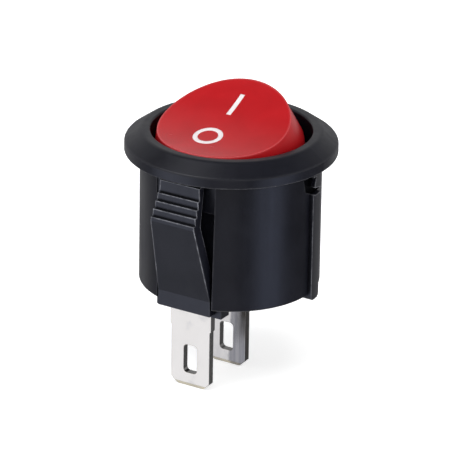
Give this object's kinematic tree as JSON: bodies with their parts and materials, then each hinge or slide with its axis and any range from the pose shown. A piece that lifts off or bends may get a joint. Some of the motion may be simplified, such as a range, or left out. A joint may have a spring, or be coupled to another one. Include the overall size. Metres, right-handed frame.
{
  "type": "panel rocker switch",
  "caption": "Round snap-in panel rocker switch with a tilting hollow-faced cap, a flanged bezel, stepped spring arms and slotted blade terminals behind.",
  "frame": {"origin": "centre of the bezel's underside, which rests on the front face of the panel", "axes": "+Z points out of the panel along the barrel's axis, X is the rocker's pivot axis, and +Y points to the rocker end that is pressed for on"},
  "size_m": [0.023, 0.0234, 0.0314],
  "materials": {
    "housing_nylon": "black moulded nylon, satin",
    "rocker_red": "red moulded plastic, polished",
    "plunger_acetal": "natural acetal",
    "spring_steel": "drawn spring wire",
    "lever_brass": "rolled brass strip",
    "contact_silver": "silver contact rivet",
    "terminal_plate": "bright tin plate on brass strip"
  },
  "bodies": {
    "base": {"housing": "housing_nylon", "common_terminal": "terminal_plate", "load_terminal": "terminal_plate", "fixed_contact": "contact_silver"},
    "rocker": {"rocker": "rocker_red", "plunger_spring": "spring_steel"},
    "plunger": {"plunger": "plunger_acetal"},
    "lever": {"contact_lever": "lever_brass", "lever_contact": "contact_silver"}
  },
  "joints": [
    {"name": "rocker_tilt", "type": "hinge", "parent": "base", "child": "rocker", "pos_m": [0, 0, -0.00185], "axis": [-1, 0, 0], "range_deg": [0, 33.2]},
    {"name": "lever_rock", "type": "hinge", "parent": "base", "child": "lever", "pos_m": [0, 0, -0.00761], "axis": [1, 0, 0], "range_deg": [0, 16]},
    {"name": "plunger_slide", "type": "slide", "parent": "rocker", "child": "plunger", "axis": [0, -0.2857, 0.9583], "range_m": [0, 0.001], "stiffness_N_per_m": 760, "springref_m": -0.001, "deforming": ["plunger_spring"]}
  ],
  "couplings": [
    {"joint": "lever_rock", "follows": "rocker_tilt", "ratio": 0.4819}
  ]
}
